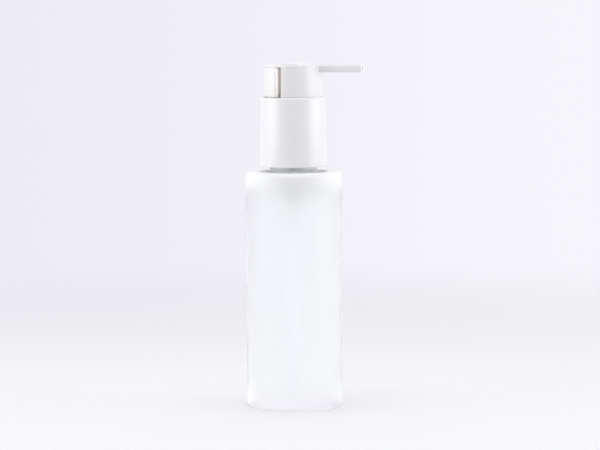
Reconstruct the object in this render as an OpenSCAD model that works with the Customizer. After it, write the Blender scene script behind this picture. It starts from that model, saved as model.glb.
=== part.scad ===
// Pump bottle for massage oil: frosted glass, tall collar, press head with
// a flat spout and a pull-off lock clip, and the whole working pump inside.
// Millimetres. Z up, table at z = 0, spout along +X, lock clip along -X.

/* [Bottle] */
// Outside diameter of the glass
bottle_diameter = 44; // [40:0.5:50]
// Height of the flat shoulder above the table
shoulder_height = 108.5; // [100:0.5:130]
// Thickness of the glass wall
glass_wall = 2.8; // [2:0.1:3.4]
// Thickness of the glass floor
glass_floor = 6; // [4:0.5:9]
// Rounding where the wall meets the base
heel_radius = 1.9; // [1:0.1:2.6]
// Rounding where the wall meets the shoulder
shoulder_radius = 2.4; // [1.5:0.1:3.2]

/* [Neck] */
// Diameter over the neck wall, under the thread
neck_diameter = 21.4; // [20.8:0.1:21.8]
// Diameter of the hole through the neck
neck_bore = 14.8; // [14.6:0.1:15.6]
// Height of the neck above the shoulder
neck_height = 15.5; // [14:0.5:17]

/* [Collar] */
// Thickness of the collar's wall at its mouth
collar_wall = 0.9; // [0.9:0.05:1.4]
// How much wider the collar is at its foot than at its mouth, on each side
collar_flare = 0.6; // [0.4:0.05:1]
// Height of the collar
collar_height = 31.6; // [31:0.5:36]
// Neck left open between the shoulder and the collar
collar_gap = 2.5; // [1.5:0.1:3.5]

/* [Press head] */
// Thickness of the head's skirt at the top
head_wall = 1.5; // [1.2:0.1:1.8]
// Height of the head above the collar
head_rise = 14.9; // [14.5:0.1:18]
// Travel of the press head
press_stroke = 9.5; // [6:0.5:10]
// Distance from the axis to the end of the spout
spout_reach = 32.4; // [26:0.2:40]
// Width of the spout
spout_width = 7.5; // [6:0.1:8.5]
// Depth of the spout
spout_depth = 3.65; // [3.5:0.05:4.2]
// Half of the arc that the head's skirt covers, about the spout
skirt_half_angle = 102; // [95:1:106]

/* [Lock clip] */
// Half of the arc that the clip covers, about the back
clip_half_angle = 64; // [54:1:66]
// How far the ledge beside the clip's wall reaches, in degrees
clip_ledge = 7; // [4:1:8]
// Step down from the clip's wall to that ledge
ledge_step = 0.25; // [0.15:0.05:0.5]
// Height of the notch under the back of the clip, for a fingernail
clip_notch = 0.9; // [0.5:0.1:1.5]

/* [Pump] */
// Bore of the pump cylinder
pump_bore = 9.3; // [8.6:0.1:9.5]
// Diameter of the stem
stem_diameter = 6.6; // [6.2:0.1:7]
// Wire of the return spring
spring_wire = 0.6; // [0.5:0.05:0.7]
// Turns of the return spring, closed ends included
spring_turns = 7; // [6:1:8]

/* [Dip tube] */
// Outside diameter of the dip tube
tube_diameter = 4; // [3.6:0.1:4.2]
// Gap between the tube and the glass floor
tube_floor_gap = 1.2; // [0.8:0.1:3]

/* [Hidden] */
$fn = 64;

// Clearances
press_gap = 0.02;
running_gap = 0.05;
face_gap = 0.1;
free_gap = 0.3;

// Glass
bottle_r = bottle_diameter / 2;
cavity_r = bottle_r - glass_wall;
cavity_top = shoulder_height - glass_wall - 0.4;
neck_r = neck_diameter / 2;
neck_bore_r = neck_bore / 2;
neck_top = shoulder_height + neck_height;
neck_root_radius = 1.2;
bead_r = 0.75;
push_up_r = bottle_r - heel_radius - 4.5;
push_up_depth = 0.8;

// Stack on top of the neck
gasket_top = neck_top + 1;
flange_top = gasket_top + 1.2;
flange_r = neck_r - 0.3;
ring_flange_r = flange_r - 1.9;
ring_flange_top = flange_top + 1;
closure_web = flange_top + face_gap;
closure_top = closure_web + 1.6;
closure_foot = shoulder_height + 5;
thread_depth = 1.4;
closure_bore_r = neck_r + thread_depth;
closure_r = closure_bore_r + 1.1;
closure_hole_r = ring_flange_r + free_gap;
rib_r = closure_r + 0.65;
rib_count = 30;

// Collar and guide sleeve
collar_foot = shoulder_height + collar_gap;
collar_top = collar_foot + collar_height;
collar_mouth_r = rib_r - 0.05;
collar_top_r = collar_mouth_r + collar_wall;
collar_foot_r = collar_top_r + collar_flare;
collar_foot_wall = collar_wall + 0.25;
collar_rim_radius = 1.1;

// Press head
head_top = collar_top + head_rise;
skirt_foot_r = collar_mouth_r - free_gap;
head_r = skirt_foot_r - 0.3;
skirt_bore_r = head_r - head_wall;
sleeve_r = skirt_bore_r - 1.5;
sleeve_bore_r = sleeve_r - 1.2;
sleeve_seat = closure_top + 1;
sleeve_top = collar_top + 1.7;
skirt_foot = max(collar_top - 3.1, sleeve_seat + press_stroke + 1);
disc_thickness = 1.2;
disc_under = head_top - disc_thickness;
disc_edge_radius = 0.5;
pad_rise = 0.42;
pad_width = 10.3;
socket_r = stem_diameter / 2 + 2.3;
boss_r = socket_r + 0.6;
boss_foot = disc_under - 3.7;
spigot_r = socket_r - 0.8;
spigot_top = boss_foot + 1.6;
socket_depth = 4;
spout_round = 0.8;
spout_draft = 0.06;
channel_r = 1.1;
channel_z = head_top - spout_depth / 2;
nozzle_r = 1.3;
nozzle_length = 4;

// Lock clip
clip_r = head_r + 0.1;
clip_bore_r = clip_r - 1.8;
clip_foot = collar_top + running_gap;
clip_top = disc_under - running_gap;
notch_half_angle = 40;
tongue_r = skirt_bore_r - 0.4;
tongue_bore_r = sleeve_r + free_gap;
tongue_half_angle = 186 - skirt_half_angle;
fork_foot = max(clip_top - 1.6, sleeve_top + press_stroke + 0.25);
fork_half_gap = boss_r + 0.15;
fork_half_width = boss_r + 2.9;
fork_reach = 2.6;
fork_edge = clip_r - 5.8;

// Pump, from the top down
bore_r = pump_bore / 2;
stem_r = stem_diameter / 2;
cylinder_r = bore_r + 0.95;
cup_r = neck_bore_r - 0.4;
cup_bore_r = cup_r - 0.9;
ring_foot = neck_top - 2.6;
cup_floor = ring_foot - face_gap;
ring_bore_r = stem_r + face_gap;
seal_length = 4.5;
seal_top = ring_foot - 0.2;
seal_foot = seal_top - seal_length;
core_r = bore_r - 2.15;
core_flange = seal_foot - running_gap;
core_flange_r = bore_r - 0.45;
core_pilot_r = core_r + 0.2;
core_pilot = 3;
spring_top = core_flange - 0.8;
spring_solid = spring_wire * (spring_turns + 1);
spring_seat = spring_top - press_stroke - spring_solid - 0.6;
spring_r = bore_r - 1.05;
cage_foot = spring_seat - 3.6;
inlet_ball_r = 1.75;
inlet_seat_r = 1.2;
inlet_seat = cage_foot - 2.2;
inlet_rest = ball_rest(inlet_seat, inlet_seat_r, inlet_ball_r);
inlet_bore_r = 2.25;
tube_stop = inlet_seat - 0.8;
tube_socket = 5.2;
socket_foot = tube_stop - tube_socket;
socket_wall_r = tube_diameter / 2 + 1.3;
vent_r = 0.5;
guide_wall = 1.8;
guide_height = 5.3;
guide_rib = 3.4;

// Stem and outlet valve
core_top = neck_top + 1.2;
stem_foot = seal_top + face_gap;
stem_drop = 7.5;
stem_top = head_top - stem_drop;
flow_r = 1.25;
outlet_ball_r = 1.5;
outlet_seat_r = 1.05;
outlet_depth = 10;
outlet_seat = stem_top - outlet_depth;
outlet_rest = ball_rest(outlet_seat, outlet_seat_r, outlet_ball_r);
outlet_bore_r = 2;
outlet_cage_length = 2.6;
outlet_cage_foot = outlet_seat + 3.9;

// Dip tube
tube_r = tube_diameter / 2;
tube_bore_r = tube_r - 0.6;
tube_foot = glass_floor + tube_floor_gap;

// Height at which a ball rests on a 45 degree seat that starts at radius
// seat_r and height z, with a hair of clearance.
function ball_rest(z, seat_r, ball_r) =
    z - seat_r + ball_r * sqrt(2) + 0.05;

// Half outline of a turned block, rounded at its lower and upper edge.
module turned_block(r, height, low, high) {
    translate([0, low])
        square([r, height - low - high]);
    square([r - low, height / 2]);
    translate([0, height / 2])
        square([r - high, height / 2]);
    translate([r - low, low])
        circle(low);
    translate([r - high, height - high])
        circle(high);
}

// Half outline of a turned block, rounded at its upper edge only.
module turned_cap(r, height, high) {
    square([r, height - high]);
    square([r - high, height]);
    translate([r - high, height - high])
        circle(high);
}

// A plain ring between two radii and two heights.
module ring(inner, outer, low, high) {
    translate([0, 0, low])
        difference() {
            cylinder(r = outer, h = high - low);
            translate([0, 0, -1])
                cylinder(r = inner, h = high - low + 2);
        }
}

// A bore along Z between two heights.
module bore(r, low, high) {
    translate([0, 0, low])
        cylinder(r = r, h = high - low);
}

// Frosted bottle: flat shoulder, small heel, thick floor, plain neck.
module glass_bottle() {
    color([0.93, 0.96, 0.96, 0.6])
        difference() {
            union() {
                rotate_extrude()
                    turned_block(bottle_r, shoulder_height, heel_radius,
                                 shoulder_radius);
                rotate_extrude()
                    translate([0, shoulder_height - 1])
                        turned_block(neck_r, neck_height + 1, 0.3, 0.7);
                rotate_extrude()
                    neck_root();
                rotate_extrude()
                    translate([neck_r + 0.25, shoulder_height + 3.8])
                        circle(bead_r);
            }
            rotate_extrude()
                translate([0, glass_floor])
                    turned_block(cavity_r, cavity_top - glass_floor, 4, 2);
            bore(neck_bore_r, cavity_top - 3, neck_top + 1);
            translate([0, 0, neck_top - 0.5])
                cylinder(r1 = neck_bore_r, r2 = neck_bore_r + 0.6, h = 0.6);
            translate([0, 0, -0.01])
                cylinder(r1 = push_up_r, r2 = push_up_r - 1.2,
                         h = push_up_depth);
        }
}

// Concave rounding where the neck rises from the shoulder.
module neck_root() {
    difference() {
        translate([neck_r - 1, shoulder_height - 0.5])
            square([1 + neck_root_radius, 0.5 + neck_root_radius]);
        translate([neck_r + neck_root_radius,
                   shoulder_height + neck_root_radius])
            circle(neck_root_radius);
    }
}

// Soft disc between the glass and the pump's flange.
module neck_gasket() {
    color([0.85, 0.86, 0.88])
        ring(neck_bore_r + 0.1, flange_r - 0.1, neck_top, gasket_top);
}

// Inner cap that screws on the neck; its ribs carry the collar.
module screw_closure() {
    color([0.96, 0.96, 0.97])
        difference() {
            union() {
                bore(closure_r, closure_foot, closure_top);
                for (i = [0 : rib_count - 1])
                    rotate([0, 0, i * 360 / rib_count])
                        translate([closure_r - 0.4, -0.45, closure_foot + 0.6])
                            cube([rib_r - closure_r + 0.4, 0.9,
                                  closure_top - closure_foot - 1.2]);
            }
            bore(closure_bore_r, closure_foot - 1, closure_web);
            bore(closure_hole_r, closure_web - 1, closure_top + 1);
            translate([0, 0, closure_foot - 0.01])
                cylinder(r1 = closure_bore_r + 0.5, r2 = closure_bore_r,
                         h = 0.5);
        }
}

// Fixed sleeve inside the collar, round which the head's skirt slides.
module guide_sleeve() {
    color([0.95, 0.95, 0.96])
        difference() {
            union() {
                bore(closure_r - 0.2, closure_top, sleeve_seat);
                rotate_extrude()
                    translate([0, closure_top])
                        turned_block(sleeve_r, sleeve_top - closure_top,
                                     0.2, 0.4);
            }
            bore(sleeve_bore_r, sleeve_seat, sleeve_top + 1);
            bore(closure_hole_r, closure_top - 1, sleeve_top);
        }
}

// Tall smooth collar with a slight draft and a rounded rim.
module collar_shell() {
    color([0.97, 0.97, 0.98])
        rotate_extrude()
            difference() {
                collar_outline();
                polygon([
                    [-1, collar_foot - 1],
                    [collar_foot_r - collar_foot_wall, collar_foot - 1],
                    [collar_foot_r - collar_foot_wall, collar_foot],
                    [collar_bore_at(closure_foot - 1), closure_foot - 1],
                    [rib_r - 0.3, closure_foot - 0.6],
                    [rib_r - 0.3, closure_foot - 0.3],
                    [collar_bore_at(closure_foot), closure_foot],
                    [collar_mouth_r, collar_top - 1.5],
                    [collar_mouth_r, collar_top + 1],
                    [-1, collar_top + 1]
                ]);
            }
}

// Radius of the collar's inside at a height.
function collar_bore_at(z) =
    let (foot = collar_foot_r - collar_foot_wall)
    foot + (collar_mouth_r - foot) * (z - collar_foot) / collar_height;

module collar_outline() {
    rim_z = collar_top - collar_rim_radius;
    polygon([
        [0, collar_foot],
        [collar_foot_r - 0.3, collar_foot],
        [collar_foot_r, collar_foot + 0.3],
        [collar_top_r, rim_z],
        [0, rim_z]
    ]);
    translate([0, rim_z - 0.5])
        square([collar_top_r - collar_rim_radius, collar_rim_radius + 0.5]);
    translate([collar_top_r - collar_rim_radius, rim_z])
        circle(collar_rim_radius);
}

// Pump cylinder: flange on the neck, cup for the guide ring, working bore,
// ball seat and the socket for the dip tube.
module pump_housing() {
    color([0.93, 0.94, 0.95])
        difference() {
            union() {
                bore(flange_r, gasket_top, flange_top);
                rotate_extrude()
                    polygon([
                        [0, socket_foot],
                        [socket_wall_r - 0.3, socket_foot],
                        [socket_wall_r, socket_foot + 0.3],
                        [socket_wall_r, cage_foot - 3.2],
                        [cylinder_r, cage_foot - 0.4],
                        [cylinder_r, cup_floor - 3.2],
                        [cup_r, cup_floor - 1.6],
                        [cup_r, gasket_top + 0.2],
                        [0, gasket_top + 0.2]
                    ]);
            }
            bore(cup_bore_r, cup_floor, flange_top + 1);
            bore(bore_r, cage_foot, cup_floor + 1);
            bore(inlet_bore_r - 0.05, inlet_seat + 1, cage_foot + 1);
            translate([0, 0, inlet_seat])
                cylinder(r1 = inlet_seat_r, r2 = inlet_bore_r - 0.05,
                         h = inlet_bore_r - 0.05 - inlet_seat_r);
            bore(inlet_seat_r, tube_stop - 1, inlet_seat + 0.5);
            bore(tube_r + press_gap, socket_foot - 1, tube_stop);
            vent_hole();
        }
}

// Small hole that lets air back into the bottle.
module vent_hole() {
    translate([0, 0, seal_foot + seal_length / 2])
        rotate([0, 90, 0])
            cylinder(r = vent_r, h = 2 * cup_r);
}

// Ring pressed into the housing; it guides the stem and stops the piston.
module guide_ring() {
    color([0.97, 0.97, 0.97])
        difference() {
            union() {
                bore(cup_bore_r - running_gap, ring_foot, flange_top);
                bore(ring_flange_r, flange_top, ring_flange_top);
                rotate_extrude()
                    translate([0, flange_top])
                        turned_block(stem_r + guide_wall, guide_height,
                                     0.2, 0.4);
                for (i = [0 : 5])
                    rotate([0, 0, i * 60])
                        translate([stem_r + 1, -0.4, flange_top])
                            cube([guide_wall + 0.8, 0.8, guide_rib]);
            }
            bore(ring_bore_r, ring_foot - 1, flange_top + guide_height + 1);
            translate([0, 0, ring_foot - 0.01])
                cylinder(r1 = cup_bore_r - 1, r2 = ring_bore_r + 0.3, h = 1.6);
        }
}

// Tube down to the floor, cut at a slant so that it never seals on it.
module dip_tube() {
    color([0.95, 0.96, 0.96])
        difference() {
            ring(tube_bore_r, tube_r, tube_foot, tube_stop - 0.05);
            translate([tube_r, 0, tube_foot])
                rotate([0, 35, 0])
                    translate([-4 * tube_r, -2 * tube_r, -3 * tube_r])
                        cube([8 * tube_r, 4 * tube_r, 3 * tube_r]);
        }
}

// Ball that closes the pump's inlet.
module inlet_ball() {
    color([0.75, 0.76, 0.78])
        translate([0, 0, inlet_rest])
            sphere(inlet_ball_r);
}

// Cage that keeps the inlet ball near its seat and carries the spring.
module ball_cage() {
    web = spring_seat - 1;
    color([0.9, 0.91, 0.92])
        difference() {
            bore(bore_r - running_gap, cage_foot, spring_seat);
            bore(inlet_bore_r, cage_foot - 1, web);
            bore(0.9, web - 1, spring_seat + 1);
            for (i = [0 : 3])
                rotate([0, 0, i * 90])
                    translate([0.4, -0.45, cage_foot + 0.8])
                        cube([2.3, 0.9, 4]);
        }
}

// Return spring with closed ends.
module return_spring() {
    color([0.72, 0.73, 0.75])
        coil(spring_r, spring_wire / 2, spring_turns,
             spring_seat + running_gap, spring_top - running_gap);
}

// Round wire wound between two heights; the first and last turn are closed.
module coil(r, wire_r, turns, low, high) {
    steps = 20;
    sides = 10;
    last = turns * steps;
    rise = high - low - 2 * wire_r - 4 * wire_r;
    function lift(t) =
        t < 1 ? 2 * wire_r * t :
        t > turns - 1 ? high - low - 4 * wire_r + 2 * wire_r * (t - turns + 1) :
        2 * wire_r + rise * (t - 1) / (turns - 2);
    points = [
        for (i = [0 : last], j = [0 : sides - 1])
            let (a = 360 * i / steps, b = 360 * j / sides,
                 d = r + wire_r * cos(b))
            [d * cos(a), d * sin(a),
             low + wire_r + lift(i / steps) + wire_r * sin(b)]
    ];
    sleeve = [
        for (i = [0 : last - 1], j = [0 : sides - 1])
            let (k = (j + 1) % sides)
            [i * sides + j, i * sides + k, (i + 1) * sides + k,
             (i + 1) * sides + j]
    ];
    start = [[for (j = [sides - 1 : -1 : 0]) j]];
    end = [[for (j = [0 : sides - 1]) last * sides + j]];
    polyhedron(points = points, faces = concat(sleeve, start, end));
}

// Hollow core that carries the soft piston and takes the spring's push.
module piston_core() {
    color([0.92, 0.93, 0.94])
        difference() {
            union() {
                rotate_extrude()
                    polygon([
                        [0, spring_top - core_pilot],
                        [core_pilot_r - 0.5, spring_top - core_pilot],
                        [core_pilot_r, spring_top - core_pilot + 0.6],
                        [core_pilot_r, spring_top],
                        [core_flange_r, spring_top],
                        [core_flange_r, core_flange - 0.3],
                        [core_flange_r - 0.3, core_flange],
                        [core_r, core_flange],
                        [core_r, core_top - 0.4],
                        [core_r - 0.4, core_top],
                        [0, core_top]
                    ]);
            }
            bore(flow_r, spring_top - core_pilot - 1, core_top + 1);
        }
}

// Soft piston with a lip at each end.
module piston_seal() {
    lip = bore_r - running_gap;
    waist = bore_r - 0.75;
    inner = core_r + press_gap;
    color([0.88, 0.9, 0.92])
        rotate_extrude()
            polygon([
                [inner, seal_foot],
                [waist - 0.5, seal_foot],
                [waist - 0.2, seal_foot + 0.9],
                [lip - 0.3, seal_foot],
                [lip, seal_foot],
                [lip, seal_foot + 0.25],
                [waist, seal_foot + 1.5],
                [waist, seal_top - 1.5],
                [lip, seal_top - 0.25],
                [lip, seal_top],
                [lip - 0.3, seal_top],
                [waist - 0.2, seal_top - 0.9],
                [waist - 0.5, seal_top],
                [inner, seal_top]
            ]);
}

// Stem: socket over the piston core, flow bore, outlet seat and chamber.
module stem() {
    chamber = outlet_seat + outlet_bore_r - outlet_seat_r;
    color([0.96, 0.96, 0.97])
        difference() {
            rotate_extrude()
                translate([0, stem_foot])
                    turned_block(stem_r, stem_top - stem_foot, 0.2, 0.4);
            bore(core_r + running_gap, stem_foot - 1, core_top + face_gap);
            bore(flow_r, stem_foot, outlet_seat - 2);
            bore(outlet_seat_r, outlet_seat - 3, outlet_seat + 0.5);
            translate([0, 0, outlet_seat])
                cylinder(r1 = outlet_seat_r, r2 = outlet_bore_r,
                         h = outlet_bore_r - outlet_seat_r);
            bore(outlet_bore_r, chamber, stem_top + 1);
        }
}

// Ball that keeps the spout from running back.
module outlet_ball() {
    color([0.75, 0.76, 0.78])
        translate([0, 0, outlet_rest])
            sphere(outlet_ball_r);
}

// Plug over the outlet ball, slotted so that oil passes round the ball.
module outlet_cage() {
    color([0.9, 0.91, 0.92])
        difference() {
            bore(outlet_bore_r - press_gap, outlet_cage_foot,
                 outlet_cage_foot + outlet_cage_length);
            bore(0.9, outlet_cage_foot - 1, stem_top);
            for (i = [0 : 1])
                rotate([0, 0, i * 90])
                    translate([-1.5 * outlet_bore_r, -0.4,
                               outlet_cage_foot - 1])
                        cube([3 * outlet_bore_r, 0.8, 2]);
        }
}

// Inner tube of the head, pushed over the stem.
module head_socket() {
    foot = stem_top - socket_depth;
    color([0.96, 0.96, 0.97])
        difference() {
            union() {
                rotate_extrude()
                    translate([0, foot])
                        turned_block(socket_r, boss_foot - foot, 0.4, 0.2);
                bore(spigot_r - press_gap, boss_foot - 1,
                     spigot_top - running_gap);
            }
            bore(stem_r + press_gap, foot - 1, stem_top + face_gap);
            bore(outlet_bore_r, stem_top, stem_top + 1.2);
            bore(1.5, stem_top + 1, spigot_top + 1);
            translate([0, 0, foot - 0.01])
                cylinder(r1 = stem_r + 0.5, r2 = stem_r, h = 0.6);
        }
}

// Press head: finger pad, disc, open skirt and hollow flat spout.
module head_shell() {
    color([0.97, 0.97, 0.98])
        difference() {
            union() {
                rotate_extrude()
                    translate([0, disc_under])
                        turned_cap(head_r, head_top - disc_under,
                                   disc_edge_radius);
                finger_pad();
                head_skirt();
                spout_body();
                bore(boss_r, boss_foot, disc_under + 0.5);
            }
            bore(spigot_r, boss_foot - 1, spigot_top);
            bore(1.5, spigot_top - 1, channel_z);
            translate([0, 0, channel_z])
                rotate([0, 90, 0])
                    cylinder(r = channel_r, h = spout_reach + 1);
            translate([spout_reach - nozzle_length, 0, channel_z])
                rotate([0, 90, 0])
                    cylinder(r = nozzle_r + press_gap,
                             h = nozzle_length + 1);
        }
}

// Slightly raised band across the disc, for the finger.
module finger_pad() {
    rounding = 0.25;
    intersection() {
        rotate_extrude()
            translate([0, head_top - 0.8])
                turned_cap(head_r - disc_edge_radius - 0.1, 0.8 + pad_rise,
                           rounding);
        translate([0, head_r, head_top - 0.8])
            rotate([90, 0, 0])
                linear_extrude(height = 2 * head_r)
                    polygon([
                        [-pad_width / 2, 0],
                        [pad_width / 2, 0],
                        [pad_width / 2, 0.8 + pad_rise - rounding],
                        [pad_width / 2 - rounding, 0.8 + pad_rise],
                        [rounding - pad_width / 2, 0.8 + pad_rise],
                        [-pad_width / 2, 0.8 + pad_rise - rounding]
                    ]);
    }
}

// Skirt of the head, open at the back where the clip sits.
module head_skirt() {
    rotate([0, 0, -skirt_half_angle])
        rotate_extrude(angle = 2 * skirt_half_angle)
            polygon([
                [skirt_bore_r + 0.3, skirt_foot],
                [skirt_foot_r - 0.2, skirt_foot],
                [skirt_foot_r, skirt_foot + 0.2],
                [head_r - 0.1, disc_under + 0.4],
                [skirt_bore_r - 0.3, disc_under + 0.4],
                [skirt_bore_r, disc_under - 0.6],
                [skirt_bore_r, skirt_foot + 0.3]
            ]);
}

// Flat spout with rounded upper edges and a slight draft in depth.
module spout_body() {
    intersection() {
        rotate([90, 0, 90])
            linear_extrude(height = spout_reach)
                spout_section();
        translate([0, spout_width, 0])
            rotate([90, 0, 0])
                linear_extrude(height = 2 * spout_width)
                    polygon([
                        [-1, head_top - spout_depth],
                        [head_r, head_top - spout_depth],
                        [spout_reach - 0.3,
                         head_top - spout_depth + spout_draft],
                        [spout_reach, head_top - spout_depth + spout_draft
                                      + 0.3],
                        [spout_reach, head_top - spout_draft - 0.5],
                        [spout_reach - 0.5, head_top - spout_draft],
                        [head_r, head_top + 1],
                        [-1, head_top + 1]
                    ]);
    }
    for (side = [-1, 1])
        spout_gusset(side);
}

// Cross-section of the spout: crisp below, rounded above.
module spout_section() {
    half = spout_width / 2;
    translate([-half, head_top - spout_depth])
        square([spout_width, spout_depth - spout_round]);
    translate([-half + spout_round, head_top - spout_depth])
        square([spout_width - 2 * spout_round, spout_depth]);
    for (side = [-1, 1])
        translate([side * (half - spout_round), head_top - spout_round])
            circle(spout_round);
}

// Fillet in plan where the spout leaves the skirt.
module spout_gusset(side) {
    radius = 1.6;
    foot = head_top - spout_depth + 0.2;
    middle = side * (spout_width / 2 + radius);
    start = sqrt(pow(head_r + radius, 2) - pow(middle, 2));
    translate([0, 0, foot])
        difference() {
            translate([head_r - 2.5, side > 0 ? 0 : -middle * side, 0])
                cube([start - head_r + 2.5, abs(middle),
                      disc_under + 0.3 - foot]);
            translate([start, middle, -1])
                cylinder(r = radius, h = spout_depth + 2);
        }
}

// Small tube pressed into the end of the spout.
module spout_nozzle() {
    color([0.93, 0.93, 0.94])
        translate([spout_reach - nozzle_length + running_gap, 0, channel_z])
            rotate([0, 90, 0])
                difference() {
                    cylinder(r = nozzle_r, h = nozzle_length - 0.2);
                    translate([0, 0, -1])
                        cylinder(r = 0.8, h = nozzle_length + 2);
                }
}

// C-shaped clip at the back of the head; it pulls off along -X.
module lock_clip() {
    color([0.95, 0.95, 0.96])
        union() {
            difference() {
                clip_wall();
                clip_nail_notch();
            }
            for (side = [-1, 1])
                clip_tongue(side);
            clip_fork();
        }
}

module clip_wall() {
    rotate([0, 0, 180 - clip_half_angle])
        rotate_extrude(angle = 2 * clip_half_angle)
            polygon([
                [clip_bore_r, clip_foot + 0.2],
                [clip_bore_r + 0.2, clip_foot],
                [clip_r - 0.3, clip_foot],
                [clip_r, clip_foot + 0.3],
                [clip_r, clip_top - 0.1],
                [clip_r - 0.1, clip_top],
                [clip_bore_r, clip_top]
            ]);
}

// Notch under the back of the clip, where a fingernail starts it off.
module clip_nail_notch() {
    rotate([0, 0, 180 - notch_half_angle])
        rotate_extrude(angle = 2 * notch_half_angle)
            translate([clip_bore_r - 1, clip_foot - 1])
                square([clip_r - clip_bore_r + 2, 1 + clip_notch]);
}

// Thin tongue of the clip that tucks behind the edge of the skirt, with
// the web that joins it to the inside of the wall and the ledge that
// fills most of the slot beside the wall.
module clip_tongue(side) {
    clip_band(side, clip_half_angle - 2.8, clip_half_angle + clip_ledge,
              tongue_r - 0.1, clip_r - ledge_step, 0.17);
    clip_band(side, clip_half_angle - 2, tongue_half_angle,
              tongue_bore_r, tongue_r, 0.1);
    clip_band(side, clip_half_angle - 5, clip_half_angle - 1,
              tongue_bore_r + 0.3, clip_bore_r + 0.3, 0.25);
}

// Band of the clip between two angles from the back and two radii, short
// of the wall's foot and top by a step.
module clip_band(side, from, to, inner, outer, step) {
    low = clip_foot + step;
    rotate([0, 0, side > 0 ? 180 - to : 180 + from])
        rotate_extrude(angle = to - from)
            translate([inner, low])
                square([outer - inner, clip_top - step - low]);
}

// Fork plate that grips the head's boss just under the disc.
module clip_fork() {
    translate([0, 0, fork_foot])
        difference() {
            union() {
                intersection() {
                    cylinder(r = clip_r - 0.3, h = clip_top - fork_foot);
                    translate([-2 * clip_r, -clip_r, -1])
                        cube([2 * clip_r - fork_edge, 2 * clip_r, 4]);
                }
                for (side = [-1, 1])
                    fork_prong(side);
            }
            translate([0, 0, -1])
                cylinder(r = fork_half_gap, h = 4);
        }
}

module fork_prong(side) {
    prong = fork_half_width - fork_half_gap;
    middle = side * (fork_half_gap + prong / 2);
    height = clip_top - fork_foot;
    translate([-fork_edge - 0.5, middle - prong / 2, 0])
        cube([fork_edge + 0.5 + fork_reach - prong / 2, prong, height]);
    translate([fork_reach - prong / 2, middle, 0])
        cylinder(r = prong / 2 + 0.08, h = height);
}

glass_bottle();
neck_gasket();
screw_closure();
guide_sleeve();
collar_shell();
pump_housing();
guide_ring();
dip_tube();
inlet_ball();
ball_cage();
return_spring();
piston_core();
piston_seal();
stem();
outlet_ball();
outlet_cage();
head_socket();
head_shell();
spout_nozzle();
lock_clip();
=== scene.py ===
"""Pump bottle for massage oil: its finished pieces, finishes and studio.

Every length in the sub-assemblies is in millimetres. A piece is brought to
metres when it leaves the bench, with its place kept in its mesh.
"""

import logging
import math
from collections.abc import Iterable, Mapping, Sequence
from dataclasses import dataclass
from enum import Enum

import bmesh
import bpy
from mathutils import Matrix, Vector


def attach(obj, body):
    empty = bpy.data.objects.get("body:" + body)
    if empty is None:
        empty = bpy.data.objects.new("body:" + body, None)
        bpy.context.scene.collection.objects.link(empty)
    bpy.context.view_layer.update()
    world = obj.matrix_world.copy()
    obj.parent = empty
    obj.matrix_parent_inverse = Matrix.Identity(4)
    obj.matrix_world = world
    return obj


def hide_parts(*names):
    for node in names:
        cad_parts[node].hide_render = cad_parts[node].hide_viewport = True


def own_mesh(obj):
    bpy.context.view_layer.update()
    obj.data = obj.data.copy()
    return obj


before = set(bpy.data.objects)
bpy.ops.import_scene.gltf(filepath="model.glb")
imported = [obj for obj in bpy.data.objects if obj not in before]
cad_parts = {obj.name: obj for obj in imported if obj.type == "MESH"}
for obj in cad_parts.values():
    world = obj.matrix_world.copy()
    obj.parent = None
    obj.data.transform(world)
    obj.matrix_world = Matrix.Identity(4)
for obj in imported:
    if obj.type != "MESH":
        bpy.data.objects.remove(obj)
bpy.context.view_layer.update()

LOG = logging.getLogger("pump_bottle")
MM = 0.001
# Corners nearer than this are one corner, in millimetres.
SAME = 1e-4
# Edges shorter than this are dropped, in millimetres.
NOTHING = 1e-5
# Rise of the neck's and the closure's thread in one turn.
THREAD_RISE = 3.175
Colour = tuple[float, float, float]


# ---------------------------------------------------------------- bench


@dataclass(frozen=True)
class Corner:
    """One corner of an outline and the radius that it is rounded to.

    The first value is the radius of a turned outline, or X of a flat one,
    and the second is Z of a turned outline, or Y of a flat one.
    """

    u: float
    v: float
    rounding: float = 0.0
    steps: int = 5


def corners(*points: tuple[float, ...]) -> list[Corner]:
    """Lists corners from plain tuples.

    Args:
        points: Each corner's two places, and its rounding where it has one.

    Returns:
        The corners in the same order.
    """
    return [Corner(*point) for point in points]


def rectangle(across: tuple[float, float],
              upward: tuple[float, float]) -> list[Corner]:
    """Lists the corners of a rectangle.

    Args:
        across: Where it starts and ends along the first direction.
        upward: Where it starts and ends along the second.

    Returns:
        Its four corners in order, from the start of both.
    """
    (u, u_end), (v, v_end) = across, upward
    return corners((u, v), (u_end, v), (u_end, v_end), (u, v_end))


class Blend(Enum):
    """How two solids are brought together."""

    UNION = "UNION"
    CUT = "DIFFERENCE"
    COMMON = "INTERSECT"


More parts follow.
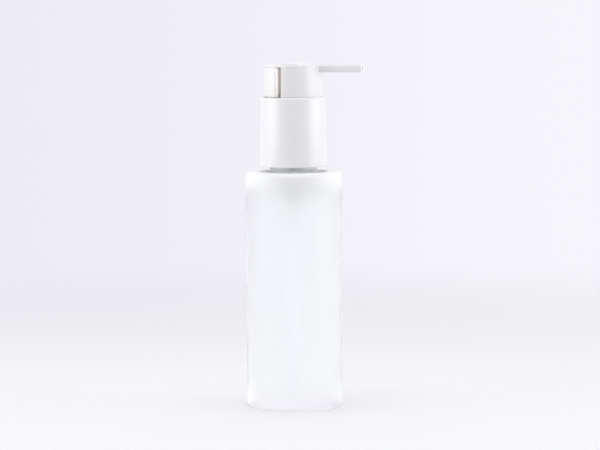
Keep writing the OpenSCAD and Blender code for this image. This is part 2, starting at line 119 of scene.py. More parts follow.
class Solid:
    """A closed body in millimetres, shaped with mesh operators."""

    def __init__(self) -> None:
        """Starts with nothing on the bench."""
        self.mesh = bmesh.new()

    # -- making

    @staticmethod
    def _draw(mesh: bmesh.types.BMesh, outline: Sequence[Corner],
              upright: bool, closed: bool) -> None:
        """Draws an outline as edges and rounds its corners.

        Args:
            mesh: The mesh to draw in.
            outline: Corners in order.
            upright: Whether the outline stands in the XZ plane.
            closed: Whether the last corner joins the first.
        """
        verts = [
            mesh.verts.new((c.u, 0, c.v) if upright else (c.u, c.v, 0))
            for c in outline
        ]
        ends = verts[1:] + verts[:1] if closed else verts[1:]
        for start, end in zip(verts, ends):
            mesh.edges.new((start, end))
        for vert, corner in zip(verts, outline):
            if corner.rounding <= 0:
                continue
            ways = [
                (edge.other_vert(vert).co - vert.co).normalized()
                for edge in vert.link_edges
            ]
            turn = math.pi - ways[0].angle(ways[1])
            bmesh.ops.bevel(
                mesh, geom=[vert], offset=corner.rounding * math.tan(turn / 2),
                offset_type="OFFSET", segments=corner.steps, profile=0.5,
                affect="VERTICES", material=-1,
            )

    @classmethod
    def turned(cls, outline: Sequence[Corner], sweep: float = 360.0,
               start: float = 0.0, steps: int = 128) -> "Solid":
        """Spins a half outline about Z.

        Args:
            outline: Corners of the half outline. Where the first lies on
                the axis, so does the last, and the outline stays open.
            sweep: Angle that the solid covers, in degrees.
            start: Angle where it starts, in degrees.
            steps: Steps of the spin.

        Returns:
            The turned solid.
        """
        solid = cls()
        mesh = solid.mesh
        cls._draw(mesh, outline, True, outline[0].u > 0)
        whole = sweep >= 360
        if not whole:
            bmesh.ops.contextual_create(
                mesh, geom=mesh.verts[:] + mesh.edges[:])
        bmesh.ops.rotate(
            mesh, verts=mesh.verts[:],
            matrix=Matrix.Rotation(math.radians(start), 3, "Z"))
        bmesh.ops.spin(
            mesh, geom=mesh.verts[:] + mesh.edges[:] + mesh.faces[:],
            axis=(0, 0, 1), angle=math.radians(sweep), steps=steps,
            use_merge=whole,
        )
        return solid.closed()

    @classmethod
    def screwed(cls, outline: Sequence[Corner],
                runs: Sequence[tuple[float, float]],
                steps: int = 48) -> "Solid":
        """Winds a closed outline about Z.

        Args:
            outline: Corners of the section, in the XZ plane.
            runs: For each run, its turns and its rise per turn.
            steps: Steps of one turn.

        Returns:
            The wound solid, closed at both ends.
        """
        solid = cls()
        mesh = solid.mesh
        cls._draw(mesh, outline, True, True)
        bmesh.ops.contextual_create(mesh, geom=mesh.verts[:] + mesh.edges[:])
        last = mesh.verts[:] + mesh.edges[:] + mesh.faces[:]
        for turns, rise in runs:
            result = bmesh.ops.spin(
                mesh, geom=last, axis=(0, 0, 1),
                dvec=(0, 0, rise / steps), angle=math.tau * turns,
                steps=round(turns * steps),
            )
            last = result["geom_last"]
        return solid.closed()

    @classmethod
    def prism(cls, outline: Sequence[Corner], height: float) -> "Solid":
        """Raises a flat outline from the XY plane.

        Args:
            outline: Corners of the outline.
            height: How high it is raised.

        Returns:
            The prism, with its foot on z = 0.
        """
        solid = cls()
        mesh = solid.mesh
        cls._draw(mesh, outline, False, True)
        bmesh.ops.contextual_create(mesh, geom=mesh.verts[:] + mesh.edges[:])
        raised = bmesh.ops.extrude_face_region(mesh, geom=mesh.faces[:])
        bmesh.ops.translate(
            mesh, vec=(0, 0, height),
            verts=[g for g in raised["geom"]
                   if isinstance(g, bmesh.types.BMVert)],
        )
        return solid.closed()

    # -- shaping

    def _merged(self) -> None:
        """Merges doubles and drops edges and faces of no size."""
        mesh = self.mesh
        bmesh.ops.remove_doubles(mesh, verts=mesh.verts[:], dist=SAME)
        bmesh.ops.dissolve_degenerate(mesh, edges=mesh.edges[:],
                                      dist=NOTHING)

    def closed(self) -> "Solid":
        """Merges doubles, drops empty faces and turns the rest outwards."""
        self._merged()
        bmesh.ops.recalc_face_normals(self.mesh, faces=self.mesh.faces[:])
        return self

    def moved(self, x: float = 0, y: float = 0, z: float = 0) -> "Solid":
        """Moves the solid by X, Y and Z."""
        bmesh.ops.translate(self.mesh, vec=(x, y, z),
                            verts=self.mesh.verts[:])
        return self

    def rotated(self, degrees: float, axis: str) -> "Solid":
        """Turns the solid by degrees about an axis through the origin."""
        bmesh.ops.rotate(
            self.mesh, verts=self.mesh.verts[:],
            matrix=Matrix.Rotation(math.radians(degrees), 3, axis))
        return self

    def copied(self) -> "Solid":
        """Returns a second solid of the same shape."""
        twin = Solid()
        twin.mesh.free()
        twin.mesh = self.mesh.copy()
        return twin

    def gathered(self, others: Iterable["Solid"]) -> "Solid":
        """Takes other solids' meshes in beside its own.

        Args:
            others: Solids to take in. They are used up.

        Returns:
            This solid.
        """
        for other in others:
            loose = bpy.data.meshes.new("loose")
            other.mesh.to_mesh(loose)
            self.mesh.from_mesh(loose)
            other.mesh.free()
            bpy.data.meshes.remove(loose)
        return self

    def sliced(self, place: Sequence[float],
               normal: Sequence[float]) -> "Solid":
        """Cuts off what lies beyond a plane, and closes the cut.

        Args:
            place: A point of the plane.
            normal: Its direction, towards what is cut off.

        Returns:
            This solid.
        """
        mesh = self.mesh
        cut = bmesh.ops.bisect_plane(
            mesh, geom=mesh.verts[:] + mesh.edges[:] + mesh.faces[:],
            plane_co=place, plane_no=normal, clear_outer=True)
        rim = [g for g in cut["geom_cut"] if isinstance(g, bmesh.types.BMEdge)]
        bmesh.ops.bridge_loops(mesh, edges=rim)
        return self.closed()

    def _object(self, name: str) -> bpy.types.Object:
        """Returns a new object with a copy of this solid's mesh."""
        data = bpy.data.meshes.new(name)
        self.mesh.to_mesh(data)
        thing = bpy.data.objects.new(name, data)
        bpy.context.scene.collection.objects.link(thing)
        return thing

    def blended(self, way: Blend, *others: "Solid") -> "Solid":
        """Brings other solids together with this one.

        Args:
            way: Whether they are added, cut away or kept in common.
            others: The other solids. They are used up.

        Returns:
            This solid.
        """
        base = self._object("bench_base")
        tools = [other._object("bench_tool") for other in others]
        for tool in tools:
            step = base.modifiers.new("step", "BOOLEAN")
            step.operation = way.value
            step.solver = "EXACT"
            step.object = tool
        bpy.context.view_layer.update()
        graph = bpy.context.evaluated_depsgraph_get()
        data = bpy.data.meshes.new_from_object(base.evaluated_get(graph))
        self.mesh.clear()
        self.mesh.from_mesh(data)
        for other in others:
            other.mesh.free()
        for thing in (base, *tools):
            old = thing.data
            bpy.data.objects.remove(thing)
            bpy.data.meshes.remove(old)
        bpy.data.meshes.remove(data)
        self._merged()
        return self

    def eased(self, width: float, angle: float = 32.0,
              steps: int = 2) -> "Solid":
        """Rounds every sharp edge a little, as a mould does.

        Args:
            width: Width of the rounding.
            angle: Edges that turn by more than this are sharp, in degrees.
            steps: Steps across the rounding.

        Returns:
            This solid.
        """
        mesh = self.mesh
        limit = math.radians(angle)
        sharp = [
            edge for edge in mesh.edges
            if len(edge.link_faces) == 2
            and edge.calc_face_angle(0.0) > limit
        ]
        bmesh.ops.bevel(
            mesh, geom=sharp, offset=width, offset_type="OFFSET",
            segments=steps, profile=0.5, affect="EDGES",
            clamp_overlap=True, material=-1,
        )
        bmesh.ops.remove_doubles(mesh, verts=mesh.verts[:], dist=SAME)
        return self

    def piece(self, name: str, smooth: float) -> bpy.types.Object:
        """Takes the solid off the bench as a finished object in metres.

        Args:
            name: The piece's name.
            smooth: Edges that turn by less than this are shaded smooth.

        Returns:
            The object, at the origin.
        """
        bmesh.ops.scale(self.mesh, vec=(MM, MM, MM),
                        verts=self.mesh.verts[:])
        thing = self._object(name)
        self.mesh.free()
        thing.data.shade_smooth()
        thing.data.set_sharp_from_angle(angle=math.radians(smooth))
        return thing


# -------------------------------------------------------------- shaders


class Socket:
    """A node's output, with Python's operators adding Math nodes."""

    def __init__(self, graph: "Graph", link: bpy.types.NodeSocket) -> None:
        """Wraps one output of a graph's node."""
        self.graph = graph
        self.link = link

    def __add__(self, other: "Value") -> "Socket":
        """Returns self + other."""
        return self.graph.math("ADD", self, other)

    def __radd__(self, other: "Value") -> "Socket":
        """Returns other + self."""
        return self.graph.math("ADD", other, self)

    def __sub__(self, other: "Value") -> "Socket":
        """Returns self - other."""
        return self.graph.math("SUBTRACT", self, other)

    def __rsub__(self, other: "Value") -> "Socket":
        """Returns other - self."""
        return self.graph.math("SUBTRACT", other, self)

    def __mul__(self, other: "Value") -> "Socket":
        """Returns self * other."""
        return self.graph.math("MULTIPLY", self, other)

    def __rmul__(self, other: "Value") -> "Socket":
        """Returns other * self."""
        return self.graph.math("MULTIPLY", other, self)

    def __truediv__(self, other: "Value") -> "Socket":
        """Returns self / other."""
        return self.graph.math("DIVIDE", self, other)

    def __pow__(self, other: "Value") -> "Socket":
        """Returns self to the power of other."""
        return self.graph.math("POWER", self, other)

    def larger(self, other: "Value") -> "Socket":
        """Returns the larger of self and other."""
        return self.graph.math("MAXIMUM", self, other)

    def step(self, low: float, high: float) -> "Socket":
        """Rises smoothly from 0 at low to 1 at high.

        Args:
            low: Value where the rise starts.
            high: Value where it ends.

        Returns:
            The smooth step.
        """
        node = self.graph.node(
            "ShaderNodeMapRange", {"interpolation_type": "SMOOTHSTEP"},
            {"Value": self, "From Min": low, "From Max": high})
        return Socket(self.graph, node.outputs["Result"])


Value = Socket | float


class Graph:
    """The nodes of one finish, on a material or on the world."""

    def __init__(self, tree: bpy.types.NodeTree) -> None:
        """Clears a node tree and starts on it."""
        self.tree = tree
        tree.nodes.clear()

    @classmethod
    def of_material(cls, name: str) -> "Graph":
        """Makes a material and returns its graph.

        Args:
            name: The material's name.

        Returns:
            The new material's graph.
        """
        material = bpy.data.materials.new(name)
        material.use_nodes = True
        graph = cls(material.node_tree)
        graph.material = material
        return graph

    def node(self, kind: str, settings: Mapping[str, object] | None = None,
             sockets: Mapping[str | int, object] | None = None
             ) -> bpy.types.Node:
        """Adds a node.

        Args:
            kind: The node's type.
            settings: Its own settings, set before its sockets.
            sockets: Values or links of its inputs.

        Returns:
            The node.
        """
        node = self.tree.nodes.new(kind)
        for key, value in (settings or {}).items():
            setattr(node, key, value)
        for key, value in (sockets or {}).items():
            target = node.inputs[key]
            if isinstance(value, Socket):
                self.tree.links.new(value.link, target)
            elif isinstance(value, tuple) and len(value) == 3 \
                    and target.type == "RGBA":
                target.default_value = (*value, 1.0)
            else:
                target.default_value = value
        return node

    def math(self, operation: str, first: Value, second: Value) -> Socket:
        """Adds a Math node of two values and returns its output."""
        node = self.node("ShaderNodeMath", {"operation": operation},
                         {0: first, 1: second})
        return Socket(self, node.outputs[0])

    def place(self, scale: Sequence[float] = (1, 1, 1)) -> Socket:
        """Returns the place on the piece in metres, stretched by scale."""
        where = self.node("ShaderNodeTexCoord")
        mapped = self.node(
            "ShaderNodeMapping", None,
            {"Vector": Socket(self, where.outputs["Object"]),
             "Scale": tuple(scale)})
        return Socket(self, mapped.outputs[0])

    def axes(self) -> tuple[Socket, Socket, Socket]:
        """Returns X, Y and Z of the place on the piece, in metres."""
        node = self.node("ShaderNodeSeparateXYZ", None,
                         {0: self.place()})
        return tuple(Socket(self, output) for output in node.outputs)

    def radius(self) -> Socket:
        """Returns the distance from the Z axis in metres."""
        x, y, _ = self.axes()
        return (x * x + y * y) ** 0.5

    def noise(self, place: Socket, scale: float, detail: float = 2.0,
              contrast: float = 0.5) -> Socket:
        """Adds a noise texture.

        Args:
            place: Where it is read.
            scale: Waves per metre.
            detail: Octaves of finer noise.
            contrast: Share that the finer octaves have.

        Returns:
            The noise, about 0.5.
        """
        node = self.node(
            "ShaderNodeTexNoise", None,
            {"Vector": place, "Scale": scale, "Detail": detail,
             "Roughness": contrast})
        return Socket(self, node.outputs[0])

    def mixed(self, share: Value, first: Colour | Socket,
              second: Colour | Socket) -> Socket:
        """Mixes two colours.

        Args:
            share: Share of the second colour.
            first: The first colour.
            second: The second colour.

        Returns:
            The mixed colour.
        """
        node = self.node("ShaderNodeMix", {"data_type": "RGBA"},
                         {0: share, 6: first, 7: second})
        return Socket(self, node.outputs[2])

    def bump(self, height: Socket, strength: float,
             distance: float) -> Socket:
        """Adds a Bump node.

        Args:
            height: Height of the surface, 0 to 1.
            strength: Strength of the bump.
            distance: Depth of height 1 in metres.

        Returns:
            The bumped normal.
        """
        node = self.node(
            "ShaderNodeBump", None,
            {"Height": height, "Strength": strength, "Distance": distance})
        return Socket(self, node.outputs["Normal"])

    def surface(self, **sockets: object) -> Socket:
        """Adds the main shader.

        Args:
            sockets: Its inputs, with underscores for spaces.

        Returns:
            The shader.
        """
        node = self.node(
            "ShaderNodeBsdfPrincipled", None,
            {key.replace("_", " "): value for key, value in sockets.items()})
        return Socket(self, node.outputs[0])

    def shaders(self, share: Value, first: Socket, second: Socket) -> Socket:
        """Mixes two shaders by the share of the second one."""
        node = self.node("ShaderNodeMixShader", None,
                         {0: share, 1: first, 2: second})
        return Socket(self, node.outputs[0])

    def finish(self, shader: Socket) -> bpy.types.Material:
        """Links the shader to the material's output and returns it."""
        self.node("ShaderNodeOutputMaterial", None, {"Surface": shader})
        return self.material


# -------------------------------------------------------------- finishes


@dataclass(frozen=True)
class MouldedPlastic:
    """Injection-moulded plastic with a fine sparked skin, and, where asked, a
    painted warm shade on its inner side.
    """

    name: str
    colour: Colour
    shade: Colour
    roughness: float = 0.32
    skin: float = 0.25
    depth: float = 0.0012
    # Painted shade: a warm brown painted on the inner side of the part, within
    # the radius below, stands in for the shade and warm bounced light inside
    # the clip's slot.
    painted_slot_shade: Colour | None = None
    painted_slot_shade_radius: float = 0.0

    def material(self) -> bpy.types.Material:
        """Builds the finish.

        Returns:
            The material.
        """
        graph = Graph.of_material(self.name)
        place = graph.place()
        cloud = graph.noise(place, 70.0, 3.0)
        flow = graph.noise(graph.place((1, 1, 0.12)), 420.0, 3.0, 0.6)
        spark = graph.noise(place, 9000.0, 2.0, 0.6)
        pores = graph.noise(place, 2600.0, 1.0)
        share = (cloud * 0.7 + flow * 0.3).step(0.3, 0.7)
        rough = self.roughness - 0.07 + cloud * 0.06 + spark * 0.08
        height = spark * 0.6 + pores * 0.25 + flow * 0.15
        colour = graph.mixed(share, self.shade, self.colour)
        # Painted shade: inside the radius the colour turns to a warm brown
        # that stands in for the slot's shade and bounced light.
        if self.painted_slot_shade:
            inside = 1 - graph.radius().step(self.painted_slot_shade_radius,
                                             self.painted_slot_shade_radius + 0.0004)
            colour = graph.mixed(inside, colour, self.painted_slot_shade)
        return graph.finish(graph.surface(
            Base_Color=colour,
            Roughness=rough,
            IOR=1.49,
            Subsurface_Weight=0.1,
            Subsurface_Radius=(1.0, 0.72, 0.5),
            Subsurface_Scale=self.depth,
            Normal=graph.bump(height, self.skin, 0.00002),
        ))


@dataclass(frozen=True)
class FrostedGlass:
    """Clear glass, etched outside and smooth inside.

    Places are in metres. The etch is milky: a little on the wall, most on
    the shoulder, and hardly at all in the heel and under the collar.
    """

    name: str = "frosted_glass"
    wall_outside: float = 0.0203
    cavity_high: float = 0.1063
    heel: tuple[float, float] = (0.004, 0.012)
    shoulder: tuple[float, float] = (0.094, 0.105)
    collar: tuple[float, float] = (0.0140, 0.0165)
    etched: float = 0.6
    polished: float = 0.08
    milk: float = 0.09
    shoulder_milk: float = 0.88
    collar_loss: float = 0.95

    def material(self) -> bpy.types.Material:
        """Builds the finish.

        Returns:
            The material.
        """
        graph = Graph.of_material(self.name)
        place = graph.place()
        _, _, z = graph.axes()
        outside = graph.radius().step(self.wall_outside,
                                      self.wall_outside + 0.0004)
        top = z.step(self.cavity_high, self.cavity_high + 0.0006)
        etched = outside.larger(top)
        cloud = graph.noise(place, 45.0, 3.0)
        etch = graph.noise(place, 14000.0, 2.0, 0.65)
        drawn = graph.noise(graph.place((1, 1, 0.25)), 60.0, 2.0)
        rough = self.polished + etched * (
            self.etched - self.polished + (cloud - 0.5) * 0.08
            + (etch - 0.5) * 0.1)
        relief = graph.bump(drawn * 0.6 + etch * etched * 0.05, 0.35, 0.0003)
        tint = graph.mixed(cloud.step(0.35, 0.65), (0.982, 0.992, 0.992),
                           (0.99, 0.997, 0.998))
        glass = graph.surface(
            Base_Color=tint, Roughness=rough, IOR=1.18,
            Transmission_Weight=1.0, Normal=relief)
        milk = graph.surface(
            Base_Color=graph.mixed(cloud, (0.945, 0.955, 0.962),
                                   (0.96, 0.97, 0.978)),
            Roughness=0.55, IOR=1.5, Normal=relief)
        collared = 1 - graph.radius().step(*self.collar)
        high = z.step(*self.shoulder) * (1 - collared * self.collar_loss)
        share = etched * z.step(*self.heel) * (
            self.milk + high * self.shoulder_milk
            + (cloud - 0.5) * 0.04 + (etch - 0.5) * 0.05)
        return graph.finish(graph.shaders(share, glass, milk))


@dataclass(frozen=True)
class Steel:
    """Bright steel: a drawn wire, or a lapped ball."""

    name: str
    roughness: float = 0.18
    lines: Sequence[float] = (1, 1, 1)

    def material(self) -> bpy.types.Material:
        """Builds the finish.

        Returns:
            The material.
        """
        graph = Graph.of_material(self.name)
        line = graph.noise(graph.place(self.lines), 5000.0, 2.0)
        cloud = graph.noise(graph.place(), 300.0, 2.0)
        return graph.finish(graph.surface(
            Base_Color=graph.mixed(cloud, (0.56, 0.57, 0.58),
                                   (0.66, 0.66, 0.67)),
            Metallic=1.0,
            Roughness=self.roughness - 0.05 + line * 0.12 + cloud * 0.06,
            Normal=graph.bump(line, 0.2, 0.00001),
        ))


@dataclass(frozen=True)
class SoftSeal:
    """Matt elastomer with a faint bloom."""

    name: str = "soft_seal"

    def material(self) -> bpy.types.Material:
        """Builds the finish.

        Returns:
            The material.
        """
        graph = Graph.of_material(self.name)
        bloom = graph.noise(graph.place(), 700.0, 3.0)
        grain = graph.noise(graph.place(), 6000.0, 2.0)
        return graph.finish(graph.surface(
            Base_Color=graph.mixed(bloom, (0.66, 0.68, 0.71),
                                   (0.78, 0.79, 0.82)),
            Roughness=0.5 + grain * 0.2,
            Normal=graph.bump(grain, 0.3, 0.00003),
        ))


def all_finishes() -> dict[str, bpy.types.Material]:
    """Makes every finish of the bottle once.

    Returns:
        The materials, each by the name of its slot.
    """
    makers = (
        FrostedGlass(),
        MouldedPlastic("white_plastic", (0.91, 0.905, 0.91),
                       (0.89, 0.885, 0.892), 0.3),
        MouldedPlastic("clip_plastic", (0.91, 0.9, 0.885),
                       (0.89, 0.878, 0.862), 0.36, 0.3,
                       # The clip's inner side carries the painted warm shade
                       # of its slot.
                       painted_slot_shade=(0.87, 0.74, 0.64), painted_slot_shade_radius=0.0116),
        MouldedPlastic("inner_plastic", (0.9, 0.902, 0.906),
                       (0.88, 0.882, 0.888), 0.38, 0.2),
        MouldedPlastic("natural_plastic", (0.9, 0.91, 0.915),
                       (0.88, 0.89, 0.896), 0.42, 0.2, 0.002),
        MouldedPlastic("tube_plastic", (0.845, 0.86, 0.866),
                       (0.83, 0.845, 0.85), 0.3, 0.15, 0.002),
        SoftSeal(),
        Steel("polished_steel", 0.12),
        Steel("spring_steel", 0.24, (1, 1, 4)),
    )
    return {maker.name: maker.material() for maker in makers}


# ---------------------------------------------------------- assemblies


@dataclass
class Assembly:
    """What every sub-assembly does with its pieces."""

    finishes: Mapping[str, bpy.types.Material]

    def place(self, solid: Solid, name: str, body: str, slot: str,
              *nodes: str, smooth: float = 38.0) -> bpy.types.Object:
        """Takes a solid off the bench, dresses it and gives it its body.

        Args:
            solid: The shaped solid. It is used up.
            name: The piece's name.
            body: The body it rides on.
            slot: The slot of its finish.
            nodes: Nodes of the frame that it stands for.
            smooth: Edges that turn by less than this are shaded smooth.

        Returns:
            The piece.
        """
        piece = solid.piece(name, smooth)
        piece.data.materials.clear()
        piece.data.materials.append(self.finishes[slot])
        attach(piece, body)
        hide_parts(*nodes)
        LOG.info("%s: %d faces, rides on %s", name,
                 len(piece.data.polygons), body)
        return piece

    def dress(self, slot: str, *nodes: str) -> None:
        """Gives nodes of the frame a finish.

        Args:
            slot: The slot of the finish.
            nodes: The nodes' names.
        """
        for name in nodes:
            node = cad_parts[name]
            for index in range(len(node.material_slots)):
                node.material_slots[index].material = self.finishes[slot]
            LOG.info("%s: dressed as %s", name, slot)


@dataclass
class Bottle(Assembly):
    """Frosted glass bottle with a screw neck."""

    radius: float = 22.0
    shoulder: float = 108.5
    wall: float = 2.8
    floor: float = 6.0
    heel: float = 1.9
    shoulder_round: float = 2.4
    neck: float = 10.7
    neck_bore: float = 7.4
    neck_top: float = 124.0
    bead_rise: float = 3.8
    bead_reach: float = 1.0
    thread_height: float = 0.95

    def build(self) -> None:
        """Builds the glass and its thread, and dresses both."""
        cavity = self.radius - self.wall
        roof = self.shoulder - self.wall - 0.4
        bead = self.shoulder + self.bead_rise
        bead_radius = self.neck + self.bead_reach
        outline = corners(
            (0, 0.8), (14.4, 0.8, 0.3), (15.6, 0.0, 0.4),
            (self.radius, 0, self.heel, 8),
            (self.radius, self.shoulder, self.shoulder_round, 10),
            (self.neck, self.shoulder, 1.2, 6),
            (self.neck, bead - 0.72, 0.15, 2),
            (bead_radius, bead - 0.3, 0.3, 3),
            (bead_radius, bead + 0.3, 0.3, 3),
            (self.neck, bead + 0.72, 0.15, 2),
            (self.neck, self.neck_top, 0.7, 5),
            (self.neck_bore, self.neck_top, 0.5, 4),
            (self.neck_bore, roof, 1.4, 6),
            (cavity, roof, 2.0, 8),
            (cavity, self.floor, 4.0, 10),
            (6.0, self.floor, 2.0, 3),
            (0, self.floor + 0.25),
        )
        glass = Solid.turned(outline, steps=160)
        thread = Solid.screwed(
            corners((self.neck - 0.15, -0.85), (self.neck + 0.55, -0.55),
                    (self.neck + self.thread_height, -0.25, 0.15, 2),
                    (self.neck + self.thread_height, 0.25, 0.15, 2),
                    (self.neck + 0.55, 0.55), (self.neck - 0.15, 0.85)),
            [(1.5, THREAD_RISE)],
        ).moved(z=self.neck_top - 7.6)
        glass.blended(Blend.UNION, thread)
        self.place(glass, "bottle_glass", "bottle", "frosted_glass",
                   "glass_bottle", smooth=40)


@dataclass
class Cap(Assembly):
    """Ribbed screw closure, guide sleeve and tall collar."""

    foot: float = 113.5
    web: float = 126.3
    top: float = 127.9
    radius: float = 13.2
    bore: float = 12.1
    hole: float = 8.8
    rib_reach: float = 13.85
    ribs: int = 60
    sleeve: float = 10.2
    sleeve_bore: float = 9.0
    sleeve_top: float = 144.3
    collar_foot: float = 111.0
    collar_top: float = 142.6
    collar_foot_radius: float = 15.3
    collar_top_radius: float = 14.7
    collar_wall: float = 1.15
    mouth: float = 13.64
    snap_bore: float = 13.56

    def build(self) -> None:
        """Builds and dresses the cap's three pieces."""
        self.place(self._closure(), "closure_ribbed", "cap",
                   "inner_plastic", "screw_closure")
        self.place(self._sleeve(), "sleeve_fixed", "cap",
                   "inner_plastic", "guide_sleeve")
        self.place(self._collar(), "collar_tall", "cap",
                   "white_plastic", "collar_shell")

    def _closure(self) -> Solid:
        """Returns the screw closure with its ribs and its thread."""
        ring = Solid.turned(corners(
            (self.bore + 0.5, self.foot, 0.1, 2),
            (self.radius, self.foot, 0.3, 3),
            (self.radius, self.top, 0.4, 4), (self.hole, self.top, 0.2, 2),
            (self.hole, self.web, 0.1, 2), (self.bore, self.web, 0.3, 3),
            (self.bore, self.foot + 0.5, 0.2, 2),
        ), steps=120)
        root = self.radius - 0.4
        tip = root + (self.rib_reach - self.radius + 0.4)
        rib = Solid.prism(corners(
            (root, -0.42), (self.radius + 0.1, -0.4),
            (tip, -0.2, 0.12, 2), (tip, 0.2, 0.12, 2),
            (self.radius + 0.1, 0.4), (root, 0.42),
        ), self.top - self.foot - 1.2).moved(z=self.foot + 0.6)
        turn = 360 / self.ribs
        row = [rib.copied().rotated(turn * i, "Z")
               for i in range(self.ribs)]
        rib.mesh.free()
        thread = Solid.screwed(
            corners((self.bore + 0.15, -0.6),
                    (self.bore - 0.3, -0.35, 0.1, 2),
                    (self.bore - 0.3, 0.35, 0.1, 2),
                    (self.bore + 0.15, 0.6)),
            [(1.4, THREAD_RISE)],
        ).rotated(150, "Z").moved(z=self.foot + 3.2)
        return ring.gathered([*row, thread])

    def _sleeve(self) -> Solid:
        """Returns the guide sleeve with its flange."""
        return Solid.turned(corners(
            (self.hole, self.top, 0.1, 2),
            (self.radius - 0.2, self.top, 0.2, 2),
            (self.radius - 0.2, self.top + 1.0, 0.25, 3),
            (self.sleeve, self.top + 1.0, 0.5, 4),
            (self.sleeve, self.sleeve_top, 0.5, 5),
            (self.sleeve_bore, self.sleeve_top, 0.35, 4),
            (self.sleeve_bore, self.top + 1.0, 0.3, 3),
            (self.hole, self.top + 1.0, 0.2, 2),
        ), steps=128)

    def _collar(self) -> Solid:
        """Returns the collar with its rounded rim and inner snap bead."""
        foot_bore = self.collar_foot_radius - self.collar_wall
        snap = self.foot - 0.45
        return Solid.turned(corners(
            (foot_bore, self.collar_foot, 0.15, 2),
            (self.collar_foot_radius, self.collar_foot, 0.35, 4),
            (self.collar_top_radius, self.collar_top, 1.05, 9),
            (self.mouth, self.collar_top, 0.12, 3),
            (self.mouth, self.collar_top - 1.5, 0.3, 2),
            (foot_bore - 0.03, self.foot, 0.1, 2),
            (self.snap_bore, snap + 0.15, 0.1, 2),
            (self.snap_bore, snap - 0.15, 0.1, 2),
            (foot_bore, self.foot - 1.0, 0.1, 2),
        ), steps=160)


@dataclass
class PumpEngine(Assembly):
    """Housing, dip tube, valves, spring and piston."""

    gasket: float = 10.3
    gasket_bore: float = 7.5
    gasket_foot: float = 124.0
    gasket_top: float = 125.0
    tube: float = 2.0
    tube_bore: float = 1.4
    tube_foot: float = 7.2
    tube_top: float = 94.3
    tube_slant: float = 35.0
    spring_low: float = 101.05
    spring_high: float = 115.75
    spring_radius: float = 3.6
    wire: float = 0.3
    turns: int = 7
    press: float = 9.5

    def build(self) -> None:
        """Builds the tube and the spring, and dresses the other nodes."""
        self.dress("natural_plastic", "pump_housing", "ball_cage",
                   "piston_core", "outlet_cage")
        self.dress("inner_plastic", "guide_ring", "stem", "head_socket")
        self.dress("soft_seal", "piston_seal")
        self.dress("polished_steel", "inlet_ball", "outlet_ball")
        self.place(self._gasket(), "gasket_soft", "pump", "soft_seal",
                   "neck_gasket")
        self.place(self._tube(), "tube_slanted", "pump", "tube_plastic",
                   "dip_tube")
        spring = self.place(self._spring(), "spring_wound", "pump",
                            "spring_steel", "return_spring", smooth=60)
        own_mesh(spring)

    def _gasket(self) -> Solid:
        """Returns the soft disc on the neck, with rounded rims."""
        return Solid.turned(corners(
            (self.gasket_bore, self.gasket_foot, 0.2, 3),
            (self.gasket, self.gasket_foot, 0.3, 3),
            (self.gasket, self.gasket_top, 0.3, 3),
            (self.gasket_bore, self.gasket_top, 0.2, 3)), steps=96)

    def _tube(self) -> Solid:
        """Returns the dip tube, cut at a slant at its foot."""
        tube = Solid.turned(corners(
            (self.tube_bore, self.tube_foot), (self.tube, self.tube_foot),
            (self.tube, self.tube_top, 0.12, 2),
            (self.tube_bore, self.tube_top, 0.12, 2)), steps=40)
        lean = math.radians(self.tube_slant)
        return tube.sliced((self.tube, 0, self.tube_foot),
                           (-math.sin(lean), 0, -math.cos(lean)))

    def _spring(self) -> Solid:
        """Returns the spring, with a closed turn at each end."""
        wire = self.wire
        rise = self.spring_high - self.spring_low - 6 * wire
        open_turns = self.turns - 2
        half = wire * 0.98
        section = corners(
            (self.spring_radius - half, -half, half, 5),
            (self.spring_radius + half, -half, half, 5),
            (self.spring_radius + half, half, half, 5),
            (self.spring_radius - half, half, half, 5))
        closed_run = (1.0, 2 * wire)
        return Solid.screwed(
            section,
            [closed_run, (open_turns, rise / open_turns), closed_run],
            steps=40).moved(z=self.spring_low + wire)


